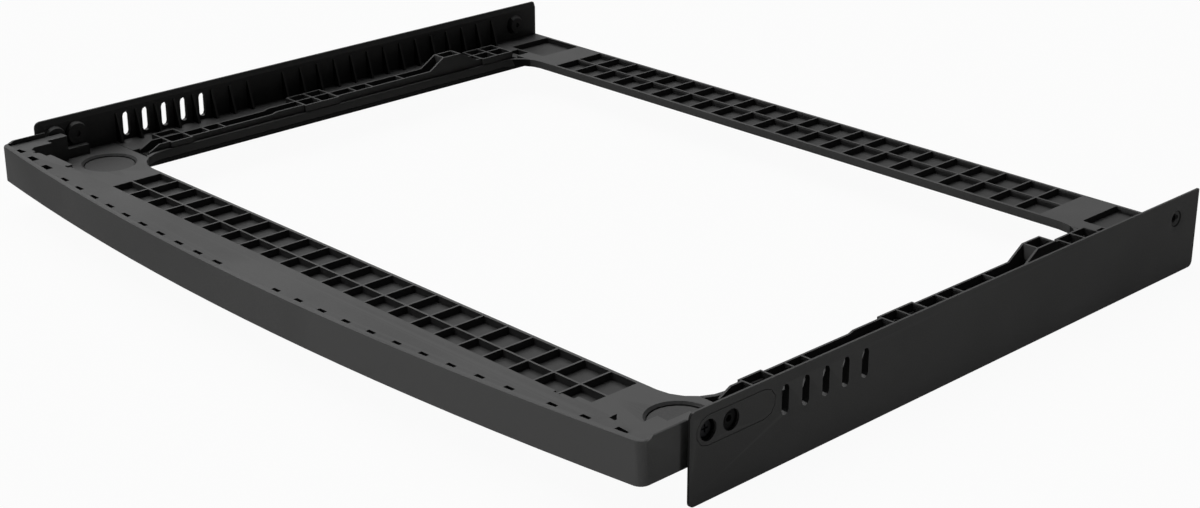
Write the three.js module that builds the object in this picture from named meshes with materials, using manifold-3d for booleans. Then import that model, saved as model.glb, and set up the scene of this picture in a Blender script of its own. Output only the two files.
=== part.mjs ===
// Stacking frame that stands a tumble dryer on a washing machine.
// Millimetres. X runs across the machine, Y from the front to the rear, Z up.
// Everything is drawn from the front edge of the side plates (Y zero) and from
// their bottom edge (Z zero). The last lines move the whole to its own middle.
import * as THREE from 'three';
import { mergeVertices } from 'three/addons/utils/BufferGeometryUtils.js';
import Module from 'manifold-3d';

const wasm = await Module();
wasm.setup();

// Overall sizes
const overallWidth = 600;
const plateLength = 443;
const plateHeight = 50.5;
const plateWall = 3;
const plateEdgeRadius = 3.5;
const plateNoseRadius = 4;
const plateTailRadius = 1;

// Levels of the frame between the plates
const frameUnderside = 19.2;
const trayThickness = 5.5;
const trayFloor = 1.3;
const fitGap = 0.3;
const overrun = 1;
const meldDepth = 0.5;

const halfWidth = overallWidth / 2;
const innerHalf = halfWidth - plateWall;
const frameTop = frameUnderside + trayThickness;
const floorLevel = frameUnderside + trayFloor;

// The window that the trays and ledges leave open
const ledgeWidth = 39.2;
const windowFront = 46.1;
const windowFrontRadius = 25;
const windowRearRadius = 22;
const windowHalf = innerHalf - ledgeWidth;

// Rows of cells in the trays, which set how deep the rear tray is
const cellRows = 2;
const cellPitch = 20.1;
const cellRib = 1.3;
const frontCellDepth = 20.6;
const rearCellDepth = 22.2;
const frontRim = 2;
const rearRim = 2.1;
const rearEdgeRim = 2;
const cellsLength = cellRows * rearCellDepth + (cellRows - 1) * cellRib;
const windowRear = plateLength - rearEdgeRim - cellsLength - rearRim;

// Seams between the trays and the side ledges
const frontSeamLap = 9.9;
const rearSeamLap = -2.2;
const tongueLength = 6;
const tongueThickness = 2.3;
const tongueInset = 5;
const frontSeam = windowFront + frontSeamLap;
const rearSeam = windowRear + rearSeamLap;
const tongueInner = windowHalf + tongueInset;
const tongueOuter = innerHalf - tongueInset;

// Screws that hold the tongues under the corner pads
const jointInnerInset = 12.8;
const jointOuterInset = 7;
const jointHeadRadius = 2.6;
const jointHeadHeight = 1.5;
const jointShankRadius = 1.3;
const jointShankLength = 4.6;
const jointRecess = 0.8;
const jointSteps = 10;
const jointScrewPlaces = [tongueInner + jointInnerInset, tongueOuter - jointOuterInset];

// Round seats for the dryer's front feet
const seatFromPlate = 34.6;
const seatFromSeam = 24;
const seatRadius = 17;
const seatDepth = 3.2;
const discGap = 0.5;
const discThickness = 1.2;
const discEdge = 0.4;
const seatCentreX = innerHalf - seatFromPlate;
const seatCentreY = frontSeam - seatFromSeam;

// Columns of cells between the round seats
const fieldMargin = 22;
const cellColumns = 2 * Math.floor((seatCentreX - seatRadius - fieldMargin) / cellPitch);
const fieldHalf = cellColumns * cellPitch / 2;

// Square seats for the dryer's rear feet
const rearSeatFromPlate = 16;
const rearSeatWidth = 35.5;
const rearSeatFromSeam = 13;
const rearSeatRim = 2;
const rearSeatDepth = 3.9;
const rearSeatRadius = 1.5;
const rearSeatOuter = innerHalf - rearSeatFromPlate;
const rearSeatInner = rearSeatOuter - rearSeatWidth;
const rearSeatRear = plateLength - rearSeatRim;
const rearSeatFront = rearSeam + rearSeatFromSeam;

// Hollows under the corner pads
const padSkin = 2.3;
const padWall = 2;
const padRibPitch = 18;

// Bowed front
const bowRadius = 2250;
const cornerReach = 26.8;
const bowSteps = 20;
const fasciaSideInset = 5;
const fasciaCornerRadius = 5.5;
const fasciaWall = 2;
const fasciaEdgeRadius = 1.2;
const fasciaEdgeSteps = 2;
const fasciaReturn = 4.6;
const flangeDepth = 3.5;
const flangeThickness = 1.7;
const flangeRise = 0.2;
const cornerSteps = 5;
const fasciaHalf = halfWidth - fasciaSideInset;
const bowReach = cornerReach + bowRadius - Math.sqrt(bowRadius ** 2 - fasciaHalf ** 2);

// Raised rims on the returns of the front cover
const rimRise = 1.4;
const rimReach = 29;
const rimRamp = 6;
const rimRoot = 8;

// Clips along the top of the front cover
const clipPitch = 20;
const clipFirst = 28;
const clipOuterInset = 59;
const clipOuterPitch = 20.8;
const clipOuterCount = 3;
const clipWidth = 4.4;
const clipThickness = 1.1;
const clipDrop = 5.6;
const clipBarb = 1.4;
const clipBarbHeight = 1.9;
const clipSlotWidth = 5.6;
const clipSlotDepth = 2.2;
const clipSlotDrop = 8;
const clipOuterFirst = fasciaHalf - clipOuterInset;
const clipInnerCount = Math.floor((clipOuterFirst - clipFirst) / clipPitch);

// Raised beam behind the front cover
const beamHeight = 18.1;
const deckThickness = 2.2;
const deckFall = 1.3;
const deckFallRun = 23;
const deckFallInset = 7.7;
const beamRear = -16.9;
const beamWall = 2;
const beamCornerRadius = 1.2;
const beamRibPitch = 40;
const beamRibInset = 52.7;
const beamRibWall = 1.6;
const beamRibLift = 1.5;
const stripLegWidth = 14.5;
const stripLegRear = 0.2;
const stripFillet = 4;
const armWidth = 7.7;
const latchWidth = 4.2;
const latchDepth = 1.8;
const latchInsets = [64.7, 25.7];
const latchTongueInner = 57.7;
const latchTongueOuter = 31.2;
const latchTongueReach = 6.5;
const latchTongueDrop = 2.3;
const latchTongueThickness = 3;
const deckLevel = frameTop + beamHeight;
const fasciaTop = deckLevel + flangeRise;
const beamSide = fasciaHalf - fasciaWall - fitGap;
const beamRibCount = Math.floor((beamSide - beamRibInset) / beamRibPitch) + 1;

// Holes and bosses of the side plates
const holeBelowDeck = 5;
const holeFrontY = 12.6;
const holeSpacing = 16;
const holeRearInset = 22;
const holeRearDrop = 1.6;
const boreRadius = 1.9;
const counterboreRadius = 5.7;
const counterboreDepth = 2.6;
const screwHoleDepth = 4.6;
const collarRadius = 2.9;
const spareWall = 0.7;
const spareWallInset = 1.4;
const dish = { rim: 9, shoulder: 5.2, floor: 2.8, shallow: 0.8, depth: 2.6 };
const bossRootRadius = 8.2;
const bossTipRadius = 7.2;
const rearBossRootRadius = 7.8;
const rearBossTipRadius = 5.8;
const bossHeight = 3;
const roundSteps = 20;
const holeLevel = deckLevel - holeBelowDeck;
const holeMiddleY = holeFrontY + holeSpacing;
const holeRearY = plateLength - holeRearInset;
const holeRearLevel = holeLevel - holeRearDrop;

// The beam's arms end behind the front screws; blocks on the front pads stand behind them
const armMargin = 2.8;
const footBlockFromPlate = 9;
const footBlockMargin = 4.4;
const footBlockHeight = 6.3;
const armRear = holeFrontY + armMargin;
const footBlockRear = holeMiddleY + footBlockMargin;
const footBlockInner = innerHalf - footBlockFromPlate;
const footBlockOuter = innerHalf - bossHeight - fitGap;
const footBlockFront = armRear + fitGap;

// Flush insert that carries the two front holes
const insertMargin = 8;
const insertToSeam = 4.2;
const insertHeight = 15.8;
const insertThickness = 1.5;
const insertStart = holeFrontY - insertMargin;
const insertEnd = frontSeam + insertToSeam;

// Slots of the side plates
const slotCount = 5;
const slotFromInsert = 7.4;
const slotPitch = 15.3;
const slotWidth = 5.3;
const slotFoot = 2.2;
const slotHead = 6.7;
const slotSteps = 4;
const slotFirst = insertEnd + slotFromInsert;

// Gussets between plate and ledge
const gussetFromSeam = 4;
const gussetPitch = 15.3;
const gussetRearMargin = 40;
const gussetLeftOut = 8;
const gussetWall = 1.7;
const gussetFoot = 7;
const gussetHead = 1;
const gussetHeadroom = 6.1;
const gussetFirst = frontSeam + gussetFromSeam;
const gussetCount = 1 + Math.floor((plateLength - gussetRearMargin - gussetFirst) / gussetPitch);

// Ledge that carries the ribbed rail
const ledgeSkin = 2.2;
const troughWidth = 14.9;
const troughFloor = 1.5;
const troughWall = 2;
const troughStepSkin = 0.9;
const troughOnward = 11.6;
const lipWidth = 2.6;
const webPitch = 30.6;
const webWall = 1.6;
const troughOuter = windowHalf + troughWidth;

// Ribbed rail in the trough of the ledge, its levels above the ledge
const railWall = 1.3;
const railFloor = 1.2;
const railFromSeam = 5.4;
const railToSeam = 6.4;
const railNoseRun = 8.6;
const railNoseDrop = 0.3;
const railLowRise = 4;
const railRise = 5.1;
const railHumpRise = 13.1;
const railStepShare = 0.3128;
const railStepRun = 3.5;
const humpInsets = { foot: 79.6, start: 66.6, end: 49.6, heel: 34.6 };
const cageReach = 10.6;
const cageBulge = 2;
const cageFloor = 1.1;
const cageLength = 17.4;
const cageLongLength = 30;
const cageFromFront = 16.6;
const cageMiddleShare = 0.396;
const railRibInsets = [49.1, 62.1];
const railRibShares = [0.5418, 0.5882, 0.6764];
const railRearRibInset = 39.6;
const railFront = frontSeam + railFromSeam;
const railEnd = rearSeam - railToSeam;
const railLength = railEnd - railFront;
const railStepY = railFront + railStepShare * railLength;
const railLowTop = frameTop + railLowRise;
const railTop = frameTop + railRise;
const humpTop = frameTop + railHumpRise;
const cageMiddle = railFront + cageMiddleShare * railLength;
const cages = [
  { start: railFront + cageFromFront, end: railFront + cageFromFront + cageLength, cells: 1 },
  { start: cageMiddle, end: cageMiddle + cageLongLength, cells: 2 },
  { start: railEnd - cageLongLength, end: railEnd, cells: 2 },
];
const railRibs = [
  ...railRibInsets.map((inset) => railFront + inset),
  ...railRibShares.map((share) => railFront + share * railLength),
  railEnd - railRearRibInset,
];

// Anti-slip strips glued under the ledges
const stripThickness = 3;
const stripWidth = 13;
const stripFromSeam = 2;
const stripToSeam = 3;

// Screws that tie the plates to the front beam
const screwHeadRadius = 4.3;
const screwHeadHeight = 1.8;
const screwShankRadius = 1.5;
const screwLength = 10.5;
const screwRecess = 0.9;
const screwRecessArm = 4.6;
const screwRecessWall = 1;
const pilotRadius = 1.8;
const pilotMargin = 0.5;
const screwSeat = halfWidth - screwHoleDepth + fitGap;
const screwCrown = screwSeat + screwHeadHeight;
const screwTip = screwCrown - screwLength;

// Finishes
const charcoalPlastic = new THREE.MeshStandardMaterial({ color: 0x323334, roughness: 0.55, metalness: 0 });
const blackPlastic = new THREE.MeshStandardMaterial({ color: 0x1e1f20, roughness: 0.5, metalness: 0 });
const blackRubber = new THREE.MeshStandardMaterial({ color: 0x111111, roughness: 0.9, metalness: 0 });
const blackenedSteel = new THREE.MeshStandardMaterial({ color: 0x2a2a2c, roughness: 0.35, metalness: 0.9 });

const quarter = Math.PI / 2;
const AXIS_X = new THREE.Vector3(1, 0, 0);
const AXIS_Y = new THREE.Vector3(0, 1, 0);
const AXIS_Z = new THREE.Vector3(0, 0, 1);
const AXIS_BACK = new THREE.Vector3(0, -1, 0);

// A closed three.js geometry as a solid that can be joined and cut
function solidOf(geometry) {
  const bare = geometry.clone();
  bare.deleteAttribute('normal');
  bare.deleteAttribute('uv');
  const merged = mergeVertices(bare);
  return new wasm.Manifold(new wasm.Mesh({
    numProp: 3,
    vertProperties: new Float32Array(merged.attributes.position.array),
    triVerts: new Uint32Array(merged.index.array),
  }));
}

function geometryOf(solid) {
  const mesh = solid.getMesh();
  const geometry = new THREE.BufferGeometry();
  geometry.setAttribute('position', new THREE.BufferAttribute(new Float32Array(mesh.vertProperties), 3));
  geometry.setIndex(new THREE.BufferAttribute(new Uint32Array(mesh.triVerts), 1));
  geometry.computeVertexNormals();
  return geometry;
}

// The same solid on the other side of the middle plane
function mirrored(solid) {
  const geometry = geometryOf(solid).scale(-1, 1, 1);
  const corners = geometry.index.array;
  for (let first = 0; first < corners.length; first += 3) {
    const kept = corners[first];
    corners[first] = corners[first + 1];
    corners[first + 1] = kept;
  }
  return solidOf(geometry);
}

function joined(solids) {
  return solids.reduce((whole, solid) => whole.add(solid));
}

function cutBy(solid, cutters) {
  return cutters.reduce((rest, cutter) => rest.subtract(cutter), solid);
}

// A box between two corners
function block(low, high) {
  const size = high.map((value, axis) => value - low[axis]);
  const middle = high.map((value, axis) => (value + low[axis]) / 2);
  return solidOf(new THREE.BoxGeometry(...size).translate(...middle));
}

// Outlines in X and Y pulled up, in Y and Z pulled along X, in X and Z pulled along Y
function pulled(shape, length, options = {}) {
  return new THREE.ExtrudeGeometry(shape, { depth: length, bevelEnabled: false, ...options });
}

function upward(shape, from, to) {
  return solidOf(pulled(shape, to - from).translate(0, 0, from));
}

function across(shape, from, to) {
  const turn = new THREE.Matrix4().makeBasis(AXIS_Y, AXIS_Z, AXIS_X);
  return solidOf(pulled(shape, to - from).applyMatrix4(turn).translate(from, 0, 0));
}

function along(shape, from, to) {
  const turn = new THREE.Matrix4().makeBasis(AXIS_X, AXIS_Z, AXIS_BACK);
  return solidOf(pulled(shape, to - from).applyMatrix4(turn).translate(0, to, 0));
}

// A turned solid on an upright axis, from its profile of radius and Z
function turnedZ(profile, x, y, steps) {
  const points = profile.map(([radius, place]) => new THREE.Vector2(radius, place));
  const stand = new THREE.Matrix4().makeRotationX(quarter);
  return solidOf(new THREE.LatheGeometry(points, steps).applyMatrix4(stand).translate(x, y, 0));
}

// A turned solid on an axis that runs along X, from its profile of radius and X
function turnedX(profile, y, z) {
  const points = profile.map(([radius, place]) => new THREE.Vector2(radius, place));
  const lathe = new THREE.LatheGeometry(points, roundSteps);
  const turn = new THREE.Matrix4().makeBasis(AXIS_Z, AXIS_X, AXIS_Y);
  return solidOf(lathe.applyMatrix4(turn).translate(0, y, z));
}

function rodX(radius, from, to, y, z) {
  return turnedX([[0, from], [radius, from], [radius, to], [0, to]], y, z);
}

function arcPoints(centreX, centreY, radius, from, to, steps) {
  const points = [];
  for (let step = 0; step <= steps; step += 1) {
    const angle = from + (to - from) * step / steps;
    points.push(new THREE.Vector2(centreX + radius * Math.cos(angle), centreY + radius * Math.sin(angle)));
  }
  return points;
}

// A rectangle with its own radius at each corner, from low left, anticlockwise
function roundedRectangle(left, low, right, high, radii) {
  const [lowLeft, lowRight, highRight, highLeft] = radii;
  return new THREE.Shape([
    ...arcPoints(left + lowLeft, low + lowLeft, lowLeft, 2 * quarter, 3 * quarter, cornerSteps),
    ...arcPoints(right - lowRight, low + lowRight, lowRight, 3 * quarter, 4 * quarter, cornerSteps),
    ...arcPoints(right - highRight, high - highRight, highRight, 0, quarter, cornerSteps),
    ...arcPoints(left + highLeft, high - highLeft, highLeft, quarter, 2 * quarter, cornerSteps),
  ]);
}

// A slot with half round ends, standing or lying
function roundEnded(left, low, right, high, steps) {
  const standing = high - low > right - left;
  const radius = (standing ? right - left : high - low) / 2;
  const turn = standing ? 0 : -quarter;
  return [
    ...arcPoints(right - radius, high - radius, radius, turn, turn + 2 * quarter, steps),
    ...arcPoints(left + radius, low + radius, radius, turn + 2 * quarter, turn + 4 * quarter, steps),
  ];
}

// The outline of the bowed front, set in from the cover's outer face, closed behind
function bowedOutline(frontInset, half, radius, rear) {
  const centreY = bowRadius - bowReach;
  const bow = bowRadius - frontInset;
  const filletX = half - radius;
  const filletY = centreY - Math.sqrt((bow - radius) ** 2 - filletX ** 2);
  const lean = Math.atan2(filletX, centreY - filletY);
  const points = [
    ...arcPoints(-filletX, filletY, radius, 2 * quarter, 3 * quarter - lean, cornerSteps),
    ...arcPoints(0, centreY, bow, 3 * quarter - lean, 3 * quarter + lean, bowSteps).slice(1, -1),
    ...arcPoints(filletX, filletY, radius, 3 * quarter + lean, 4 * quarter, cornerSteps),
    new THREE.Vector2(half, rear),
    new THREE.Vector2(-half, rear),
  ];
  return new THREE.Shape(points);
}

// Where the inset bow lies at a distance from the middle
function bowAt(x, frontInset) {
  return bowRadius - bowReach - Math.sqrt((bowRadius - frontInset) ** 2 - x ** 2);
}

const bothSides = [1, -1];

// The window through everything, grown outwards by a margin
function windowCutter(margin) {
  const radii = [windowFrontRadius, windowFrontRadius, windowRearRadius, windowRearRadius];
  const outline = roundedRectangle(
    -windowHalf - margin, windowFront - margin, windowHalf + margin, windowRear + margin,
    radii.map((radius) => radius + margin),
  );
  return upward(outline, -overrun, plateHeight + overrun);
}

// Open cells in a tray, two rows of them, from the rear edge of the field forwards
function cellCutters(fieldRear, cellDepth) {
  const cutters = [];
  for (let row = 0; row < cellRows; row += 1) {
    const rear = fieldRear - row * (cellDepth + cellRib);
    for (let column = 0; column < cellColumns; column += 1) {
      const left = -fieldHalf + column * cellPitch + cellRib / 2;
      cutters.push(block(
        [left, rear - cellDepth, floorLevel],
        [left + cellPitch - cellRib, rear, frameTop + overrun],
      ));
    }
  }
  return cutters;
}

// The hollow under a corner pad, with ribs across it
function padHollows(inner, outer, front, rear, skin) {
  const hollows = [];
  const count = Math.max(1, Math.round((outer - inner) / padRibPitch));
  const pitch = (outer - inner + webWall) / count;
  for (let bay = 0; bay < count; bay += 1) {
    const left = inner + bay * pitch;
    hollows.push(block(
      [left, front, frameUnderside - overrun],
      [left + pitch - webWall, rear, frameTop - skin],
    ));
  }
  return hollows;
}

const trayHalf = innerHalf - fitGap;
const tonguePocketTop = frameUnderside + tongueThickness + fitGap;
const frontJointY = frontSeam - tongueLength / 2;
const rearJointY = rearSeam + tongueLength / 2;

function frontTray() {
  const inset = fasciaWall + fitGap;
  const slabSeam = fasciaReturn + fitGap;
  const front = bowedOutline(inset, fasciaHalf - inset, fasciaCornerRadius - inset, slabSeam + meldDepth);
  const slabFront = upward(front, frameUnderside, frameTop);
  const slabRear = block(
    [-trayHalf, slabSeam, frameUnderside],
    [trayHalf, frontSeam, frameTop],
  );
  const cutters = [windowCutter(0), ...cellCutters(windowFront - frontRim, frontCellDepth)];
  const blocks = [];
  for (const side of bothSides) {
    const hollowInner = fieldHalf + padWall;
    const hollowOuter = seatCentreX - seatRadius - padWall;
    const hollows = padHollows(hollowInner, hollowOuter, padWall, windowFront - padWall, padSkin);
    const pocket = block(
      [tongueInner - fitGap, frontSeam - tongueLength - fitGap, frameUnderside - overrun],
      [tongueOuter + fitGap, frontSeam + overrun, tonguePocketTop],
    );
    cutters.push(...(side > 0 ? hollows : hollows.map(mirrored)));
    const holes = jointHoles(frontJointY);
    cutters.push(...(side > 0 ? holes : holes.map(mirrored)));
    cutters.push(side > 0 ? pocket : mirrored(pocket));
    const seatOutline = new THREE.Shape(
      arcPoints(side * seatCentreX, seatCentreY, seatRadius, 0, 4 * quarter, roundSteps + cornerSteps),
    );
    cutters.push(upward(seatOutline, frameTop - seatDepth, frameTop + overrun));
    const footBlock = block(
      [footBlockInner, footBlockFront, frameTop - meldDepth],
      [footBlockOuter, footBlockRear, frameTop + footBlockHeight],
    );
    blocks.push(side > 0 ? footBlock : mirrored(footBlock));
  }
  return joined([cutBy(joined([slabFront, slabRear]), cutters), ...blocks]);
}

function rearTray() {
  const slab = block([-trayHalf, rearSeam, frameUnderside], [trayHalf, plateLength, frameTop]);
  const cutters = [windowCutter(0), ...cellCutters(windowRear + rearRim + cellsLength, rearCellDepth)];
  for (const side of bothSides) {
    const seatOutline = roundedRectangle(
      rearSeatInner, rearSeatFront, rearSeatOuter, rearSeatRear,
      Array(4).fill(rearSeatRadius),
    );
    const seat = upward(seatOutline, frameTop - rearSeatDepth, frameTop + overrun);
    // The trough of the ledge runs on into the tray: shallow over the tongue, then as deep as before
    const troughInner = windowHalf + lipWidth;
    const stepY = rearSeam + tongueLength + fitGap + troughStepSkin;
    const shallowTrough = block(
      [troughInner, rearSeam - overrun, tonguePocketTop + troughStepSkin],
      [troughOuter, stepY, frameTop + overrun],
    );
    const deepTrough = block(
      [troughInner, stepY - meldDepth, frameUnderside + troughFloor],
      [troughOuter, rearSeam + troughOnward, frameTop + overrun],
    );
    const tonguePocket = block(
      [tongueInner - fitGap, rearSeam - overrun, frameUnderside - overrun],
      [tongueOuter + fitGap, rearSeam + tongueLength + fitGap, tonguePocketTop],
    );
    const hollows = padHollows(
      fieldHalf + padWall, rearSeatInner - padWall, windowRear + padWall, plateLength - padWall, padSkin,
    );
    const cuts = [seat, shallowTrough, deepTrough, tonguePocket, ...hollows, ...jointHoles(rearJointY)];
    cutters.push(...(side > 0 ? cuts : cuts.map(mirrored)));
  }
  return cutBy(slab, cutters);
}

// The plate's outline in Y and Z with its slots
function plateOutline() {
  const outline = roundedRectangle(
    0, 0, plateLength, plateHeight,
    [plateEdgeRadius, plateEdgeRadius, plateTailRadius, plateNoseRadius],
  );
  const slotBottom = frameTop + slotFoot;
  const slotTop = plateHeight - slotHead;
  for (let slot = 0; slot < slotCount; slot += 1) {
    const middle = slotFirst + slot * slotPitch;
    const points = roundEnded(middle - slotWidth / 2, slotBottom, middle + slotWidth / 2, slotTop, slotSteps);
    outline.holes.push(new THREE.Path(points));
  }
  return outline;
}

function insertOutline(margin) {
  const low = holeLevel - insertHeight / 2 - margin;
  const high = holeLevel + insertHeight / 2 + margin;
  return new THREE.Shape(roundEnded(insertStart - margin, low, insertEnd + margin, high, cornerSteps));
}

// A boss on the inner face of the right plate
function plateBoss(y, z, rootRadius, tipRadius) {
  const tip = innerHalf - bossHeight;
  return turnedX([
    [0, tip],
    [tipRadius, tip],
    [rootRadius, innerHalf],
    [rootRadius, innerHalf + meldDepth],
    [0, innerHalf + meldDepth],
  ], y, z);
}

function counterbore(y, z, depth) {
  return rodX(counterboreRadius, halfWidth - depth, halfWidth + overrun, y, z);
}

function plateBore(y, z) {
  return rodX(boreRadius, innerHalf - bossHeight - overrun, halfWidth + overrun, y, z);
}

// A hole without a screw is blind from both ends, up to a thin wall
function spareBores(y, z) {
  const wall = innerHalf - bossHeight + spareWallInset;
  return [
    rodX(boreRadius, innerHalf - bossHeight - overrun, wall, y, z),
    rodX(boreRadius, wall + spareWall, halfWidth + overrun, y, z),
  ];
}

// The mouth of the middle hole, in which a low collar stands around the bore
function collaredMouth(y, z) {
  const collarTop = halfWidth - insertThickness - fitGap;
  return turnedX([
    [0, collarTop],
    [collarRadius, collarTop],
    [collarRadius, halfWidth - counterboreDepth],
    [counterboreRadius, halfWidth - counterboreDepth],
    [counterboreRadius, halfWidth + overrun],
    [0, halfWidth + overrun],
  ], y, z);
}

// The mouth of the rear hole: a shallow dish with a steeper cone in its middle
function dishedMouth(y, z) {
  return turnedX([
    [0, halfWidth - dish.depth],
    [dish.floor, halfWidth - dish.depth],
    [dish.shoulder, halfWidth - dish.shallow],
    [dish.rim, halfWidth],
    [dish.rim, halfWidth + overrun],
    [0, halfWidth + overrun],
  ], y, z);
}

// The ledge's section in X and Z: solid beside the window, a thin skin next to the plate
function ledgeSection() {
  return new THREE.Shape([
    [innerHalf + meldDepth, frameTop],
    [windowHalf, frameTop],
    [windowHalf, frameUnderside],
    [troughOuter + troughWall, frameUnderside],
    [troughOuter + troughWall, frameTop - ledgeSkin],
    [innerHalf + meldDepth, frameTop - ledgeSkin],
  ].map(([x, z]) => new THREE.Vector2(x, z)));
}

// The trough for the rail: it keeps a lip of even width along the window and its corners
function troughCutter() {
  const hollow = block(
    [windowHalf - windowFrontRadius, frontSeam - overrun, frameUnderside + troughFloor],
    [troughOuter, rearSeam + overrun, frameTop + overrun],
  );
  return hollow.subtract(windowCutter(lipWidth));
}

// A gusset melts into the ledge, or stands just clear of the rear tray
function gusset(y) {
  const overTray = y + gussetWall / 2 > rearSeam - fitGap;
  const foot = overTray ? frameTop + fitGap : frameTop - meldDepth;
  const outline = new THREE.Shape([
    [innerHalf + meldDepth, foot],
    [innerHalf + meldDepth, plateHeight - gussetHeadroom],
    [innerHalf - gussetHead, plateHeight - gussetHeadroom],
    [innerHalf - gussetFoot, frameTop + meldDepth],
    [innerHalf - gussetFoot, foot],
  ].map(([x, z]) => new THREE.Vector2(x, z)));
  return along(outline, y - gussetWall / 2, y + gussetWall / 2);
}

function sidePlate() {
  const solids = [across(plateOutline(), innerHalf, halfWidth)];
  const ledgeFront = frontSeam + fitGap;
  const ledgeRear = rearSeam - fitGap;
  solids.push(along(ledgeSection(), ledgeFront, ledgeRear));
  solids.push(plateBoss(holeFrontY, holeLevel, bossRootRadius, bossTipRadius));
  solids.push(plateBoss(holeMiddleY, holeLevel, bossRootRadius, bossTipRadius));
  solids.push(plateBoss(holeRearY, holeRearLevel, rearBossRootRadius, rearBossTipRadius));
  for (let place = 0; place < gussetCount; place += 1) {
    if (place !== gussetLeftOut) {
      solids.push(gusset(gussetFirst + place * gussetPitch));
    }
  }
  // Webs stiffen the ledge from below
  for (let y = ledgeFront + webPitch; y < ledgeRear - webPitch / 2; y += webPitch) {
    solids.push(block(
      [troughOuter + meldDepth, y - webWall / 2, frameUnderside],
      [innerHalf + meldDepth, y + webWall / 2, frameTop - meldDepth],
    ));
  }
  // The window's rounded corners run on into the ledge
  solids.push(block(
    [windowHalf - windowFrontRadius, ledgeFront, frameUnderside],
    [windowHalf + meldDepth, windowFront + windowFrontRadius, frameTop],
  ));
  solids.push(block(
    [windowHalf - windowRearRadius, windowRear - windowRearRadius, frameUnderside],
    [windowHalf + meldDepth, ledgeRear, frameTop],
  ));
  // Tongues that slide under the corner pads
  const tongueSpans = [
    [frontSeam - tongueLength, ledgeFront + meldDepth],
    [ledgeRear - meldDepth, rearSeam + tongueLength],
  ];
  for (const [front, rear] of tongueSpans) {
    solids.push(block(
      [tongueInner, front, frameUnderside],
      [tongueOuter, rear, frameUnderside + tongueThickness],
    ));
  }
  const cutters = [
    windowCutter(0),
    troughCutter(),
    across(insertOutline(fitGap), halfWidth - insertThickness - fitGap, halfWidth + overrun),
    counterbore(holeFrontY, holeLevel, screwHoleDepth),
    collaredMouth(holeMiddleY, holeLevel),
    dishedMouth(holeRearY, holeRearLevel),
    plateBore(holeFrontY, holeLevel),
    ...spareBores(holeMiddleY, holeLevel),
    ...spareBores(holeRearY, holeRearLevel),
    ...jointHoles(frontJointY),
    ...jointHoles(rearJointY),
  ];
  return cutBy(joined(solids), cutters);
}

function screwInsert() {
  const plate = across(insertOutline(0), halfWidth - insertThickness, halfWidth);
  return cutBy(plate, [
    counterbore(holeFrontY, holeLevel, screwHoleDepth),
    counterbore(holeMiddleY, holeLevel, counterboreDepth),
  ]);
}

// Side view of a rail wall in Y and Z
function railWallOutline(foot) {
  return new THREE.Shape([
    [railFront, foot],
    [railFront, frameTop - railNoseDrop],
    [railFront + railNoseRun, railLowTop],
    [railStepY, railLowTop],
    [railStepY + railStepRun, railTop],
    [railEnd - humpInsets.foot, railTop],
    [railEnd - humpInsets.start, humpTop],
    [railEnd - humpInsets.end, humpTop],
    [railEnd - humpInsets.heel, railTop],
    [railEnd, railTop],
    [railEnd, foot],
  ].reverse().map(([y, z]) => new THREE.Vector2(y, z)));
}

function sideRail() {
  const inner = windowHalf + lipWidth + fitGap;
  const outer = troughOuter - fitGap;
  const foot = frameUnderside + troughFloor + fitGap;
  const above = frameTop + fitGap;
  // The inner wall steps aside where a cage bulges over the lip
  const innerWall = cutBy(
    across(railWallOutline(foot), inner, inner + railWall),
    cages.map((cage) => block(
      [inner - overrun, cage.start + railWall, above],
      [inner + railWall + overrun, cage.end - railWall, plateHeight],
    )),
  );
  const solids = [
    innerWall,
    across(railWallOutline(foot), outer - railWall, outer),
    block([inner, railFront, foot], [outer, railEnd, foot + railFloor]),
  ];
  const crossRib = (y, top) => block([inner, y - railWall / 2, foot], [outer, y + railWall / 2, top]);
  for (const y of railRibs) {
    solids.push(crossRib(y, y < railStepY ? railLowTop : railTop));
  }
  for (const y of [railEnd - humpInsets.start + railWall / 2, railEnd - humpInsets.end - railWall / 2]) {
    solids.push(crossRib(y, humpTop));
  }
  for (const cage of cages) {
    const top = cage.start < railStepY ? railLowTop : railTop;
    const cageInner = inner - cageBulge;
    const cageOuter = outer + cageReach;
    const bay = (cage.end - cage.start - railWall) / cage.cells;
    // Bulge over the lip, outer cells over the ledge, and the ribs across them
    solids.push(block([cageInner, cage.start, above], [cageInner + railWall, cage.end, top]));
    solids.push(block([cageOuter - railWall, cage.start, above], [cageOuter, cage.end, top]));
    solids.push(block(
      [outer - meldDepth, cage.start, above],
      [cageOuter - meldDepth, cage.end, above + cageFloor],
    ));
    for (let wall = 0; wall <= cage.cells; wall += 1) {
      const y = cage.start + wall * bay;
      solids.push(block([inner + meldDepth, y, foot], [outer - meldDepth, y + railWall, above + meldDepth]));
      solids.push(block([cageInner + meldDepth, y, above], [cageOuter - meldDepth, y + railWall, top]));
    }
  }
  return joined(solids);
}

function antiSlipStrip() {
  const top = frameUnderside - fitGap;
  return block(
    [windowHalf, frontSeam + stripFromSeam, top - stripThickness],
    [windowHalf + stripWidth, rearSeam - stripToSeam, top],
  );
}

// Places of the clips on the right half of the front, from the middle outwards
function clipPlaces() {
  const places = [];
  for (let clip = 0; clip < clipInnerCount; clip += 1) {
    places.push(clipFirst + clip * clipPitch);
  }
  for (let clip = 0; clip < clipOuterCount; clip += 1) {
    places.push(clipOuterFirst + clip * clipOuterPitch);
  }
  return places;
}

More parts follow.
